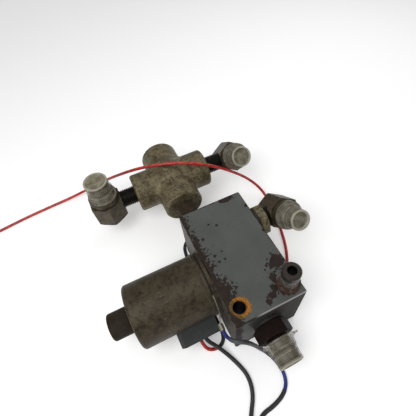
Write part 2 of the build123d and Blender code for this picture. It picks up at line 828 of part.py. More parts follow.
save("left_elbow", elbow(left_elbow_plane, left_elbow_hex, left_stud_radius, left_stud_length))
save("left_cap", elbow_cap(left_elbow_plane, left_stud_radius, left_stud_length))
save("right_nipple", right_nipple())
save("right_elbow", elbow(right_elbow_plane, right_elbow_hex, right_stud_radius, right_stud_length))
save("right_cap", elbow_cap(right_elbow_plane, right_stud_radius, right_stud_length))
save("side_seal", side_seal())
save("side_lock_nut", side_lock_nut())
save("side_nipple", side_nipple())
save("side_elbow", elbow(side_elbow_plane, side_elbow_hex, side_stud_radius, side_stud_length))
save("side_cap", elbow_cap(side_elbow_plane, side_stud_radius, side_stud_length))
save("red_lead", lead("red_lead", red_points, red_lead_radius))
save("red_connector", red_connector())
save("black_lead", lead("black_lead", black_points, black_lead_radius))
save("blue_lead", lead("blue_lead", blue_points, blue_lead_radius))
save("lead_plug", lead_plug())
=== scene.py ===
import bpy
import bmesh
import json
import math
from mathutils import Matrix, Vector


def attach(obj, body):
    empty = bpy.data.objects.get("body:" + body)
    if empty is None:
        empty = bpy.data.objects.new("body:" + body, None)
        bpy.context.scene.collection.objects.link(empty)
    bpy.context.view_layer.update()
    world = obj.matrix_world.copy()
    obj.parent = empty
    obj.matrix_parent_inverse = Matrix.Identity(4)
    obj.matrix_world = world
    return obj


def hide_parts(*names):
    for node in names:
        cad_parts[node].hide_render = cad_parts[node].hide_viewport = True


# Hydraulic solenoid valve: finishes, threads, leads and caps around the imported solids.
# Lengths in the dictionaries are millimetres, and everything made is metres.
mm = 0.001
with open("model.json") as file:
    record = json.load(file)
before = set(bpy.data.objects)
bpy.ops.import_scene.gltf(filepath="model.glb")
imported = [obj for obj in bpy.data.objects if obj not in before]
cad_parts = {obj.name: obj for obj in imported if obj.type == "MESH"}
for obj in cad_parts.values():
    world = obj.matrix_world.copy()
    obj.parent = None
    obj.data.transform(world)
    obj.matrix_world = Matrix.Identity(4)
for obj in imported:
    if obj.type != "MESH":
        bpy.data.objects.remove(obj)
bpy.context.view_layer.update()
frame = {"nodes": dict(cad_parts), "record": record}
nodes = frame["nodes"]

# The camera, at the place and with the lens that were fitted to the photo
view = {
    "place": (-52.7, -94.9, 266.2),
    "right": (0.9013, -0.4273, -0.0709),
    "up": (0.3869, 0.7205, 0.5754),
    "back": (-0.1948, -0.5461, 0.8148),
    "lens": 27.0,
    "sensor": 36.0,
    "nearest": 10.0,
    "farthest": 20000.0,
}


def linked(name, data):
    made = bpy.data.objects.new(name, data)
    bpy.context.scene.collection.objects.link(made)
    return made


def addCamera():
    camera = bpy.data.cameras.new("camera")
    camera.lens = view["lens"]
    camera.sensor_width = view["sensor"]
    camera.clip_start = view["nearest"] * mm
    camera.clip_end = view["farthest"] * mm
    holder = linked("camera", camera)
    turn = Matrix((view["right"], view["up"], view["back"])).transposed().to_4x4()
    holder.matrix_world = Matrix.Translation(Vector(view["place"]) * mm) @ turn
    bpy.context.scene.camera = holder


addCamera()
bpy.context.scene.view_settings.view_transform = "Standard"
print("camera set")

# Small tools for meshes: distances for merging points, and the numbers that all pieces share
weld = 0.001
spinWeld = 0.002
fullTurn = 2 * math.pi
threadShape = {"steps": 40, "flat": 0.12, "sharp": 30}
bevelShape = {"segments": 2, "angle": 40}
spunSharp = 50


def place(origin, direction):
    spin = Vector((0, 0, 1)).rotation_difference(Vector(direction).normalized())
    return Matrix.Translation(Vector(origin) * mm) @ spin.to_matrix().to_4x4()


def finishMesh(name, bm, matrix, sharp=40):
    bmesh.ops.remove_doubles(bm, verts=bm.verts, dist=weld * mm)
    bmesh.ops.transform(bm, matrix=matrix, verts=bm.verts)
    bmesh.ops.recalc_face_normals(bm, faces=bm.faces)
    mesh = bpy.data.meshes.new(name)
    bm.to_mesh(mesh)
    bm.free()
    mesh.shade_smooth()
    mesh.set_sharp_from_angle(angle=math.radians(sharp))
    return linked(name, mesh)


def outlineEdges(bm, outline, closed):
    # The outline is a list of (radius, height)
    verts = [bm.verts.new((radius * mm, 0, height * mm)) for radius, height in outline]
    ends = verts[1:] + verts[:1] if closed else verts[1:]
    return verts + [bm.edges.new((a, b)) for a, b in zip(verts, ends)]


def spunPiece(name, outline, origin, direction, steps):
    bm = bmesh.new()
    loop = outlineEdges(bm, outline, True)
    bmesh.ops.spin(bm, geom=loop, cent=(0, 0, 0), axis=(0, 0, 1), angle=fullTurn,
                   steps=steps, use_merge=True)
    return finishMesh(name, bm, place(origin, direction), spunSharp)


def threadedPiece(name, radius, depth, pitch, length, origin, direction):
    # One V of the thread is spun upwards, and both ends are closed
    bm = bmesh.new()
    steps = threadShape["steps"]
    turns = max(2, round(length / pitch))
    flat = threadShape["flat"] * pitch
    root = radius - depth
    outline = [(root, 0), (root, flat), (radius, (pitch - flat) / 2), (radius, (pitch + flat) / 2),
               (root, pitch - flat), (root, pitch)]
    line = outlineEdges(bm, outline, False)
    bmesh.ops.spin(bm, geom=line, cent=(0, 0, 0), axis=(0, 0, 1), dvec=(0, 0, pitch * mm / steps),
                   angle=fullTurn * turns, steps=steps * turns)
    bmesh.ops.remove_doubles(bm, verts=bm.verts, dist=spinWeld * mm)
    openEdges = [edge for edge in bm.edges if edge.is_boundary]
    bmesh.ops.holes_fill(bm, edges=openEdges, sides=0)
    return finishMesh(name, bm, place(origin, direction), threadShape["sharp"])


def roundEdges(piece, width):
    bevel = piece.modifiers.new("edges", "BEVEL")
    bevel.width = width * mm
    bevel.segments = bevelShape["segments"]
    bevel.limit_method = "ANGLE"
    bevel.angle_limit = math.radians(bevelShape["angle"])


def ridesOn(piece, body, slotName, finish, *replaced):
    piece.data.materials.clear()
    piece.data.materials.append(finish)
    if replaced:
        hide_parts(*replaced)
    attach(piece, body)
    return piece


# Shader maths as Python expressions
class Flow:
    def __init__(self, finish, socket):
        self.finish = finish
        self.socket = socket

    def maths(self, operation, *others):
        return self.finish.maths(operation, self, *others)

    def __add__(self, other):
        return self.maths("ADD", other)

    def __sub__(self, other):
        return self.maths("SUBTRACT", other)

    def __mul__(self, other):
        return self.maths("MULTIPLY", other)

    def __truediv__(self, other):
        return self.maths("DIVIDE", other)

    def __rsub__(self, other):
        return self.finish.maths("SUBTRACT", other, self)

    def __abs__(self):
        return self.maths("ABSOLUTE")

    def most(self, other):
        return self.maths("MAXIMUM", other)

    def least(self, other):
        return self.maths("MINIMUM", other)

    def root(self):
        return self.maths("SQRT")

    __radd__ = __add__


class Finish:
    def __init__(self, name, **fixed):
        self.material = bpy.data.materials.new(name)
        self.material.use_nodes = True
        self.tree = self.material.node_tree
        self.shader = self.tree.nodes["Principled BSDF"]
        for socket, value in fixed.items():
            self.shader.inputs[socket.replace("_", " ")].default_value = value
        # Places on the piece, in millimetres
        coords = self.node("ShaderNodeTexCoord", {}, {}, "Object")
        self.spot = self.scaled(coords, 1 / mm)
        self.x = self.node("ShaderNodeSeparateXYZ", {}, {0: self.spot}, "X")
        self.y = self.node("ShaderNodeSeparateXYZ", {}, {0: self.spot}, "Y")
        self.z = self.node("ShaderNodeSeparateXYZ", {}, {0: self.spot}, "Z")

    def node(self, kind, settings, values, output=0):
        made = self.tree.nodes.new(kind)
        for key, value in settings.items():
            setattr(made, key, value)
        for key, value in values.items():
            self.feed(made.inputs[key], value)
        return Flow(self, made.outputs[output])

    def feed(self, socket, value):
        if isinstance(value, Flow):
            self.tree.links.new(value.socket, socket)
        elif socket.type == "RGBA":
            socket.default_value = (*value, 1)
        else:
            socket.default_value = value

    def maths(self, operation, *values):
        return self.node("ShaderNodeMath", {"operation": operation}, dict(enumerate(values)))

    def scaled(self, vector, factor):
        return self.node("ShaderNodeVectorMath", {"operation": "SCALE"}, {0: vector, "Scale": factor})

    def noise(self, size, detail=3.0, rough=0.55, stretch=(1, 1, 1), shift=(0, 0, 0)):
        spread = tuple(1 / (size * part) for part in stretch)
        mapping = {"Vector": self.spot, "Location": shift, "Scale": spread}
        where = self.node("ShaderNodeMapping", {}, mapping)
        values = {"Vector": where, "Scale": 1.0, "Detail": detail, "Roughness": rough}
        return self.node("ShaderNodeTexNoise", {}, values)

    def cells(self, size, output, bend):
        # Voronoi cells of a given size, with their borders bent by a share of that size
        wander = self.node("ShaderNodeTexNoise", {}, {"Vector": self.spot, "Scale": 1 / size}, "Color")
        where = self.node("ShaderNodeVectorMath", {}, {0: self.spot, 1: self.scaled(wander, bend * size)})
        return self.node("ShaderNodeTexVoronoi", {}, {"Vector": where, "Scale": 1 / size}, output)

    def ramp(self, place, stops):
        shade = self.node("ShaderNodeValToRGB", {}, {0: place})
        elements = shade.socket.node.color_ramp.elements
        while len(elements) < len(stops):
            elements.new(0.5)
        for element, (position, level) in zip(elements, stops):
            element.position = position
            element.color = (level, level, level, 1)
        return shade

    def step(self, value, low, high):
        values = {"Value": value, "From Min": low, "From Max": high}
        return self.node("ShaderNodeMapRange", {"interpolation_type": "SMOOTHSTEP"}, values)

    def mix(self, factor, first, second):
        return self.node("ShaderNodeMix", {"data_type": "RGBA"}, {0: factor, 6: first, 7: second}, 2)

    def blob(self, cx, cy, rx, ry):
        # 1 in the middle of an ellipse, 0 on its rim, and less outside
        dx = (self.x - cx) / rx
        dy = (self.y - cy) / ry
        return 1 - (dx * dx + dy * dy).root()

    def awayFrom(self, cx, cy):
        dx = self.x - cx
        dy = self.y - cy
        return (dx * dx + dy * dy).root()

    def connect(self, **flows):
        for socket, value in flows.items():
            self.feed(self.shader.inputs[socket.replace("_", " ")], value)

    def relief(self, height, depth, strength=1.0):
        values = {"Height": height, "Strength": strength, "Distance": depth * mm}
        self.connect(Normal=self.node("ShaderNodeBump", {}, values, "Normal"))


# Finish of the block: grey-green paint, worn to brown along its left edge and near its near end, with
# painted shade over its near face and a painted highlight on part of its near top edge
blockWear = {
    "half": (27.5, 49.0),
    "top": 57.0,
    # Share of the block's length, and how far the wear reaches in from the left edge
    "leftEdge": [
        (0.0, 6.0), (0.08, 5.0), (0.17, 7.0), (0.22, 10.5), (0.26, 12.5), (0.31, 9.0), (0.36, 6.8),
        (0.43, 5.4), (0.55, 5.8), (0.66, 5.0), (0.72, 2.8), (0.8, 2.4), (0.9, 3.4), (1.0, 3.8)],
    "widest": 15.0,
    # Worn ellipses: middle, and radius across and along
    "patches": [
        (20.6, -20.5, 6.2, 5.6), (13.0, -31.0, 3.2, 5.0), (9.5, -37.0, 3.6, 3.2), (5.0, -40.5, 3.2, 2.8),
        (0.8, -43.6, 2.6, 2.4), (17.5, -41.0, 8.2, 4.6), (-25.0, -44.0, 4.5, 6.0), (15.0, 47.0, 7.8, 3.4),
        (0.0, 49.0, 9.0, 1.6)],
    # Small worn spots: middle and radius
    "spots": [
        (20.4, -13.4, 0.9), (12.6, -20.3, 1.1), (10.0, -22.6, 0.8), (-24.0, 24.0, 1.8), (-18.9, 20.3, 1.3),
        (-23.4, 21.4, 1.9), (-10.4, 4.5, 0.8), (-16.9, 3.6, 1.2), (-11.1, -1.9, 0.9), (-15.9, -2.2, 1.1),
        (-9.3, 30.6, 1.0), (-3.9, 27.0, 1.1), (26.0, 33.0, 1.6), (26.6, 6.3, 1.5)],
    # How far the chips reach past the wear, and where the scratches begin and are full
    "chipReach": 4.0,
    "scratchAcross": (24.0, 14.0),
    "scratchAlong": (34.0, 22.0),
    # How deep a face's own colour goes, where it begins and where it is full
    "skin": (0.8, 0.4),
    "hole": (-19.0, -38.0),
    "holeRadius": 4.5,
    # Distances from the hole's middle where the rust begins and is full, and where it darkens
    "ring": (7.7, 7.0),
    "ringDark": (5.3, 4.7),
}
wornEdge = (-0.15, 0.25)
spotEdge = (-0.15, 0.2)
paintGrey = (0.082, 0.087, 0.080)
paintDark = (0.060, 0.062, 0.056)
paintPale = (0.125, 0.13, 0.12)
paintScratch = (0.035, 0.034, 0.030)
nearShadeGrey = (0.024, 0.024, 0.022)
nearPale = (0.085, 0.085, 0.080)
nearShade = (0.007, 0.004, 0.0035)
wornBrown = (0.017, 0.0115, 0.0085)
wornRed = (0.027, 0.0155, 0.012)
wornPale = (0.060, 0.046, 0.036)
wallBrown = (0.075, 0.064, 0.048)
bareMetalHighlight = (0.38, 0.37, 0.35)
rustOrange = (0.33, 0.125, 0.014)
rustYellow = (0.42, 0.23, 0.035)
rustOlive = (0.105, 0.068, 0.018)
rustBrown = (0.055, 0.024, 0.010)
unlit = (0.004, 0.003, 0.003)


def blockFinish():
    f = Finish("blockPaint", Specular_IOR_Level=0.2)
    halfX, halfY = blockWear["half"]
    top = blockWear["top"]
    skinFrom, skinTo = blockWear["skin"]
    coarse = f.noise(4.0, 5.0, 0.7)
    fine = f.noise(0.8, 4.0, 0.75)
    cloud = f.noise(26.0, 3.0)
    scratch = f.noise(1.0, 3.0, 0.6, stretch=(0.7, 3.5, 1.0), shift=(4.0, 1.0, 0.0))
    chip = f.cells(1.5, "Color", 0.9)
    waves = coarse - 0.5
    grains = fine - 0.5
    ragged = waves * 8.0 + (chip - 0.5) * 7.0 + grains * 2.5
    # The worn band along the left edge, the patches and the spots
    widest = blockWear["widest"]
    stops = [(share, reach / widest) for share, reach in blockWear["leftEdge"]]
    band = f.ramp((f.y + halfY) / (2 * halfY), stops) * widest
    fromLeft = f.x + halfX
    worn = f.step(band - fromLeft + ragged, *wornEdge)
    for cx, cy, rx, ry in blockWear["patches"]:
        worn = worn.most(f.step(f.blob(cx, cy, rx, ry) * ((rx + ry) / 2) + ragged * 0.6, *wornEdge))
    for cx, cy, radius in blockWear["spots"]:
        worn = worn.most(f.step(f.blob(cx, cy, radius, radius) * radius + grains * 3.0, *spotEdge))
    # Small chips, thickest beside the worn band, and short scratches further in
    chips = f.step(chip + grains * 0.5, 0.66, 0.70)
    beside = f.step(band + blockWear["chipReach"] - fromLeft + waves * 8.0, -1.0, 2.0)
    worn = worn.most(chips * beside)
    scratched = f.step(scratch, 0.64, 0.67) * f.step(fromLeft + waves * 8.0, *blockWear["scratchAcross"])
    worn = worn.most(scratched * f.step(f.y, *blockWear["scratchAlong"]) * 0.8)
    # The near end: grey and scratched on the left, brown on the right, and dark low down
    onTop = f.step(f.z, top - 1.0, top - 0.7)
    nearFace = f.step(f.y, skinFrom - halfY, skinTo - halfY)
    nearBrown = f.step(f.x + ragged * 0.8, -2.0, 0.0)
    nearLeft = f.step(f.x + ragged * 0.6, -21.5, -23.5)
    lowWear = f.step(ragged - f.z * 0.16, -0.6, 0.2)
    wall = (nearFace * nearBrown.most(nearLeft)).most(lowWear)
    worn = f.mix(onTop, wall, worn)
    # Distances past the block's sides. The middle one of the three is near 0 along every edge.
    a = abs(f.x) - halfX
    b = abs(f.y) - halfY
    c = f.z - top
    second = a.least(b).most(b.least(c)).most(a.least(c))
    edge = f.step(second + waves * 1.8 + grains * 0.8, -1.0, -0.6)
    nearTop = f.step(b.least(c) + grains * 0.4, -1.0, -0.7)
    # A painted highlight along the right part of the near top edge, drawn as bright, shiny bare metal
    edgeHighlight = nearTop * f.step(f.x, -14, -6) * f.step(f.y, 0, -10) * f.step(coarse, 0.34, 0.42)
    # Paint, and the brown that the wear shows
    paint = f.mix(f.step(cloud, 0.35, 0.7) * 0.55, paintGrey, paintDark)
    paint = f.mix(f.step(fine, 0.60, 0.75) * 0.4, paint, paintPale)
    paint = f.mix(f.step(scratch, 0.40, 0.34) * 0.35, paint, paintScratch)
    # Painted shade: the near face's paint is pulled halfway to a dark grey
    paint = f.mix(nearFace * 0.5, paint, nearShadeGrey)
    paint = f.mix(nearFace * f.step(scratch, 0.50, 0.60), paint, nearPale)
    brown = f.mix(f.step(coarse, 0.4, 0.65), wornBrown, wornRed)
    brown = f.mix(f.step(fine, 0.60, 0.75) * 0.4, brown, wornPale)
    shade = f.mix(worn.most(edge), paint, brown)
    leftFace = f.step(f.x, skinFrom - halfX, skinTo - halfX)
    leftShade = f.mix(f.step(coarse * 0.6 + fine * 0.4, 0.56, 0.46), wallBrown, wornBrown)
    shade = f.mix(leftFace, shade, leftShade)
    # Painted shade: the near face's whole colour is pulled halfway to near-black
    shade = f.mix(nearFace * 0.5, shade, nearShade)
    # The painted highlight on the near top edge
    shade = f.mix(edgeHighlight, shade, bareMetalHighlight)
    # Rust round the empty hole, and no light down the hole
    away = f.awayFrom(*blockWear["hole"])
    across = f.x - blockWear["hole"][0]
    ring = f.step(away + waves * 7.0 + grains * 2.5 - across * 0.12, *blockWear["ring"]) * onTop
    rust = f.mix(f.step(coarse + across * 0.03, 0.40, 0.50), rustOlive, rustOrange)
    rust = f.mix(f.step(fine, 0.56, 0.66) * 0.7, rust, rustYellow)
    rust = f.mix(f.step(fine, 0.49, 0.40), rust, rustBrown)
    rust = f.mix(f.step(away, *blockWear["ringDark"]) * 0.7, rust, rustBrown)
    shade = f.mix(ring, shade, rust)
    inHole = f.step(away, blockWear["holeRadius"] + 0.25, blockWear["holeRadius"] + 0.05)
    shade = f.mix(inHole * f.step(f.z, top - 0.4, top - 2.0), shade, unlit)
    roughLevel = 0.46 + worn * 0.24 + ring * 0.2 + grains * 0.2
    f.connect(Base_Color=shade, Roughness=roughLevel, Metallic=edgeHighlight * 0.8)
    f.relief(fine * 0.5 + coarse * 0.2 - worn * 0.7 - ring * 0.4, 0.22, 0.9)
    return f.material


def castFinish(name, light, dark, deep, roughLevel, metal, grain, depth, fleck, gloss=0.25):
    # Rough metal in an old coat: clouds, pits, and pale rubbed flecks
    f = Finish(name, Specular_IOR_Level=gloss, Metallic=metal)
    cloud = f.noise(9.0, 5.0, 0.65)
    coarse = f.noise(grain, 5.0, 0.65)
    fine = f.noise(grain * 0.22, 3.0, 0.6)
    scratch = f.noise(0.9, 2.0, 0.5, stretch=(6.0, 1.0, 1.6), shift=(3.0, 1.0, 2.0))
    shade = f.mix(f.step(cloud * 0.45 + coarse * 0.35 + fine * 0.2, 0.42, 0.57), dark, light)
    shade = f.mix(f.step(coarse, 0.50, 0.34) * 0.6, shade, deep)
    pale = tuple(min(1.0, part * 2.1 + 0.02) for part in light)
    shade = f.mix(f.step(fine * 0.5 + scratch * 0.5, 0.585, 0.68) * fleck, shade, pale)
    specks = f.step(f.cells(2.6, "Distance", 0.8) + (fine - 0.5) * 0.5, 0.13, 0.06)
    shade = f.mix(specks * f.step(cloud, 0.42, 0.52) * fleck, shade, pale)
    f.connect(Base_Color=shade, Roughness=roughLevel + (coarse - 0.5) * 0.3)
    f.relief(coarse * 0.8 + fine * 0.5, depth)
    return f.material


def rustyTouch(f, rusty, coarse, fine, metal):
    # Rust is rougher than the steel, stands proud of it and doesn't shine
    f.connect(Metallic=(1 - rusty) * metal, Roughness=0.42 + rusty * 0.4 + (fine - 0.5) * 0.2)
    f.relief(coarse * 0.5 + fine * 0.6 + rusty * 0.3, 0.18, 0.9)


def rustySteel(name, base, rustAmount):
    f = Finish(name, Specular_IOR_Level=0.25)
    coarse = f.noise(3.2, 5.0, 0.65)
    fine = f.noise(0.7, 3.0, 0.6)
    rusty = f.step(coarse * 0.7 + fine * 0.3, 0.62 - rustAmount * 0.25, 0.70 - rustAmount * 0.2)
    rust = f.mix(f.step(fine, 0.4, 0.65), (0.05, 0.022, 0.012), (0.16, 0.068, 0.026))
    dull = f.mix(f.step(fine, 0.35, 0.65), tuple(part * 0.62 for part in base), base)
    f.connect(Base_Color=f.mix(rusty, dull, rust))
    rustyTouch(f, rusty, coarse, fine, 0.75)
    return f.material


def plainMetal(name, base, roughLevel):
    f = Finish(name, Metallic=1.0)
    fine = f.noise(0.5, 3.0)
    smear = f.noise(6.0, 3.0)
    shade = f.mix(f.step(smear, 0.35, 0.7), tuple(part * 0.75 for part in base), base)
    f.connect(Base_Color=shade, Roughness=roughLevel + (smear - 0.5) * 0.25)
    f.relief(fine, 0.03, 0.6)
    return f.material


def dullPolymer(name, base, roughLevel, mottle=0.25, grain=0.6, depth=0.05, gloss=0.3, **fixed):
    # Plastic, rubber or paint with dusty clouds and darker grains
    f = Finish(name, Specular_IOR_Level=gloss, **fixed)
    cloud = f.noise(8.0, 4.0)
    fine = f.noise(grain, 3.0)
    dusty = tuple(min(1.0, part * 1.5 + 0.03) for part in base)
    shade = f.mix(f.step(cloud, 0.4, 0.7) * mottle, base, dusty)
    shade = f.mix(f.step(fine, 0.62, 0.74) * mottle, shade, tuple(part * 0.6 for part in base))
    f.connect(Base_Color=shade, Roughness=roughLevel + (cloud - 0.5) * 0.2)
    f.relief(fine, depth, 0.8)
    return f.material


# Mounting screw: its place and seat, where the painted shade on the side of its head begins and ends, and
# where its socket, painted unlit, begins and ends
screw = {"spot": (19.0, -38.0), "seat": 57.0, "sideFoot": (70.5, 72.5), "sideTop": (79.9, 79.3),
         "socket": (3.6, 3.3), "socketTop": (80.2, 79.6)}


def screwFinish():
    # Grey-brown steel, rustier at the foot, with painted shade darkening the side of its head so that its
    # top reads paler, and the socket painted unlit
    f = Finish("screwSteel", Specular_IOR_Level=0.25)
    coarse = f.noise(3.0, 5.0, 0.65)
    fine = f.noise(0.6, 3.0, 0.6)
    steel = f.mix(f.step(fine, 0.38, 0.62), (0.085, 0.076, 0.069), (0.20, 0.19, 0.18))
    # Painted shade on the side of the head
    shadedSide = f.step(f.z, *screw["sideFoot"]) * f.step(f.z, *screw["sideTop"])
    steel = f.mix(shadedSide, steel, (0.040, 0.032, 0.027))
    rusty = f.step(coarse * 0.7 + fine * 0.3 - (f.z - screw["seat"]) * 0.014, 0.36, 0.46)
    rust = f.mix(f.step(fine, 0.42, 0.62), (0.028, 0.015, 0.010), (0.072, 0.033, 0.016))
    shade = f.mix(rusty, steel, rust)
    inSocket = f.step(f.awayFrom(*screw["spot"]), *screw["socket"]) * f.step(f.z, *screw["socketTop"])
    f.connect(Base_Color=f.mix(inSocket, shade, unlit))
    rustyTouch(f, rusty, coarse, fine, 0.6)
    return f.material


# Bands of a cap, as shares of its height from its open rim. A ridge or groove is its middle, and how
# far from there it begins and is full.
capBands = {
    "end": (0.90, 0.94),
    "topRim": (0.955, 0.975),
    "footRim": (0.10, 0.05),
    "ridges": ((0.62, 0.035, 0.015), (0.42, 0.03, 0.015)),
    "grooves": ((0.87, 0.028, 0.010), (0.50, 0.022, 0.008)),
    "dishHighest": 0.945,
}


def bandsOf(f, rise, first, second):
    masks = [f.step(abs(rise - middle), low, high) for middle, low, high in (first, second)]
    return masks[0].most(masks[1])


def capFinish(name):
    # Milky plastic, greyed by handling: the thread shows through its side, and its end is thicker
    f = Finish(name, IOR=1.45, Specular_IOR_Level=0.5)
    cloud = f.noise(5.0, 4.0)
    fine = f.noise(0.8, 3.0)
    rise = f.node("ShaderNodeAttribute", {"attribute_name": "rise"}, {}, "Fac")
    end = f.step(rise, *capBands["end"])
    rim = f.step(rise, *capBands["topRim"]).most(f.step(rise, *capBands["footRim"]) * 0.6)
    ridge = bandsOf(f, rise, *capBands["ridges"])
    groove = bandsOf(f, rise, *capBands["grooves"])
    side = f.mix(f.step(cloud, 0.35, 0.68), (0.17, 0.15, 0.105), (0.30, 0.28, 0.22))
    closed = f.mix(f.step(cloud, 0.35, 0.65), (0.17, 0.15, 0.092), (0.28, 0.255, 0.175))
    shade = f.mix(end, side, closed)
    shade = f.mix(rim, shade, (0.33, 0.31, 0.235))
    shade = f.mix(groove * 0.8, shade, (0.045, 0.036, 0.026))
    shade = f.mix(f.step(fine, 0.6, 0.74) * 0.4, shade, (0.11, 0.09, 0.06))
    milky = 0.40 + end * 0.36 + rim * 0.2 + ridge * 0.25 + groove * 0.3 + (cloud - 0.5) * 0.35
    f.connect(Base_Color=shade, Roughness=0.30 + (cloud - 0.5) * 0.2, Alpha=milky)
    f.relief(cloud, 0.10, 0.7)
    return f.material


def redFinish():
    # Red insulation, with patches that are a little darker or paler
    f = Finish("redInsulation", Specular_IOR_Level=0.5)
    patches = f.noise(3.4, 2.0, 0.5, shift=(5, 2, 0))
    fine = f.noise(0.5, 2.0)
    shade = f.mix(f.step(patches, 0.42, 0.58), (0.30, 0.008, 0.010), (0.50, 0.026, 0.014))
    shade = f.mix(f.step(patches, 0.62, 0.75) * 0.6, shade, (0.44, 0.05, 0.045))
    f.connect(Base_Color=shade, Roughness=0.38 + (fine - 0.5) * 0.1)
    f.relief(fine, 0.02, 0.5)
    return f.material


finishes = {
    "block_paint": blockFinish(),
    "coil_coat": castFinish(
        "coilCoat", (0.058, 0.045, 0.026), (0.035, 0.027, 0.016), (0.014, 0.010, 0.006),
        roughLevel=0.50, metal=0.35, grain=3.4, depth=0.14, fleck=0.75),
    "seal_rubber": dullPolymer("sealRubber", (0.018, 0.017, 0.016), roughLevel=0.6),
    "bobbin_plastic": dullPolymer("bobbinPlastic", (0.55, 0.52, 0.44), roughLevel=0.5),
    "winding": plainMetal("winding", (0.55, 0.24, 0.12), roughLevel=0.35),
    "plain_steel": plainMetal("plainSteel", (0.42, 0.42, 0.41), roughLevel=0.3),
    "nut_plastic": dullPolymer(
        "nutPlastic", (0.021, 0.0145, 0.0085),
        roughLevel=0.65, mottle=0.3, grain=0.8, depth=0.08, gloss=0.1),
    "box_paint": dullPolymer(
        "boxPaint", (0.030, 0.033, 0.0325), roughLevel=0.5, grain=0.9, depth=0.07, gloss=0.15),
    "potting": dullPolymer("potting", (0.014, 0.013, 0.012), roughLevel=0.5),
    "tinned": rustySteel("tinned", (0.33, 0.31, 0.26), rustAmount=0.25),
    "screw_steel": screwFinish(),
    "adapter_coat": castFinish(
        "adapterCoat", (0.012, 0.0062, 0.0055), (0.0075, 0.004, 0.0035), (0.004, 0.0025, 0.002),
        roughLevel=0.50, metal=0.0, grain=2.6, depth=0.07, fleck=0.12, gloss=0.06),
    "cap_plastic": capFinish("capPlastic"),
    "pipe_steel": rustySteel("pipeSteel", (0.026, 0.023, 0.019), rustAmount=0.15),
    "cross_iron": castFinish(
        "crossIron", (0.175, 0.145, 0.082), (0.072, 0.058, 0.032), (0.020, 0.015, 0.009),
        roughLevel=0.48, metal=0.35, grain=2.2, depth=0.25, fleck=0.7),
    "elbow_steel": castFinish(
        "elbowSteel", (0.078, 0.060, 0.035), (0.042, 0.032, 0.020), (0.015, 0.011, 0.007),
        roughLevel=0.45, metal=0.4, grain=3.0, depth=0.10, fleck=0.35),
    "red_insulation": redFinish(),
    "connector_plastic": dullPolymer(
        "connectorPlastic", (0.45, 0.025, 0.02), roughLevel=0.35, mottle=0.15),
    "black_insulation": dullPolymer("blackInsulation", (0.024, 0.025, 0.027), roughLevel=0.48, mottle=0.2),
    "blue_insulation": dullPolymer("blueInsulation", (0.018, 0.03, 0.17), roughLevel=0.38, mottle=0.2),
    "plug_plastic": dullPolymer("plugPlastic", (0.018, 0.018, 0.019), roughLevel=0.45),
}
sleeveGrey = dullPolymer("sleeveGrey", (0.070, 0.072, 0.078), roughLevel=0.4, mottle=0.35, Alpha=0.85)
studBrown = dullPolymer("studBrown", (0.105, 0.070, 0.045), roughLevel=0.6, mottle=0.5, grain=1.2)
crossThread = rustySteel("crossThread", (0.085, 0.070, 0.050), rustAmount=0.35)

for row in frame["record"]["subparts"]:
    solid = nodes[row["node"]]
    solid.data.materials.clear()
    solid.data.materials.append(finishes[row["material_slot"]])
# The lock nut takes the finish of the cross instead of its slot's own
nodes["side_lock_nut"].data.materials[0] = finishes["cross_iron"]
print("finishes set on", len(nodes), "solids")

# Leads: the same route points as the solids
leads = {
    "redLead": {
        "node": "red_lead", "radius": 1.4, "length": 689.1, "slot": "red_insulation",
        "points": [
            (-50.3, -31.164, 13.102), (-50.3, -35.494, 10.602),
            (-48.6, -40.9, 5.0), (-44.0, -43.2, 2.0), (-36.6, -43.0, 1.4), (-31.8, -37.0, 1.4),
            (-31.8, -24.0, 1.4), (-32.3, 2.0, 1.4), (-32.0, 38.0, 1.4), (-29.0, 55.0, 1.4),
            (-14.0, 61.0, 1.4), (12.0, 60.8, 1.4), (29.0, 56.0, 1.4), (35.5, 42.0, 1.4),
            (34.4, 24.0, 1.4), (33.4, 9.0, 1.4), (33.0, -3.0, 1.4), (37.0, -10.4, 1.4),
            (44.6, -11.4, 1.4), (49.6, -4.6, 1.4), (56.4, 8.0, 1.4), (63.2, 28.0, 1.4),
            (68.6, 46.0, 1.4), (70.5, 62.0, 2.5), (67.5, 76.0, 10.0), (55.0, 83.4, 25.0),
            (38.0, 86.6, 41.0), (22.0, 89.9, 53.0), (6.0, 94.6, 60.0), (-12.0, 104.0, 61.0),
            (-34.7, 114.6, 57.6),
            (-50.0, 124.5, 50.0), (-68.4, 141.0, 34.0), (-83.7, 155.0, 18.6), (-99.0, 163.6, 7.6),
            (-118.7, 166.6, 2.0), (-140.0, 165.8, 1.4), (-168.0, 163.4, 1.4), (-194.8, 159.4, 1.4),
            (-205.0, 157.4, 2.5), (-212.0, 156.0, 2.5)],
    },
    "blackLead": {
        "node": "black_lead", "radius": 1.6, "length": 81.1, "slot": "black_insulation",
        "points": [
            (-46.5, -32.664, 15.7), (-46.5, -36.994, 13.2), (-40.9, -43.0, 8.0), (-35.6, -51.4, 3.0),
            (-31.9, -59.6, 1.6), (-29.0, -68.6, 1.6), (-29.5, -77.0, 1.6), (-32.6, -84.6, 1.6),
            (-37.6, -91.0, 1.6), (-41.902, -97.316, 3.5), (-44.202, -101.3, 3.5)],
    },
    "blueLead": {
        "node": "blue_lead", "radius": 1.4, "length": 123.9, "slot": "blue_insulation",
        "points": [
            (-33.4, -41.0, 33.5), (-33.4, -44.8, 33.5), (-32.3, -48.9, 37.0), (-29.4, -52.8, 39.8),
            (-24.6, -55.0, 38.3), (-20.2, -56.2, 30.5), (-16.4, -57.4, 20.5), (-12.2, -59.4, 10.0),
            (-8.2, -62.8, 3.6), (-4.8, -69.4, 1.4), (-3.4, -78.6, 1.4), (-5.9, -87.4, 1.4),
            (-12.6, -92.6, 1.4), (-22.0, -95.2, 1.4), (-31.5, -96.0, 1.4), (-37.398, -99.916, 3.5),
            (-39.698, -103.9, 3.5)],
    },
}
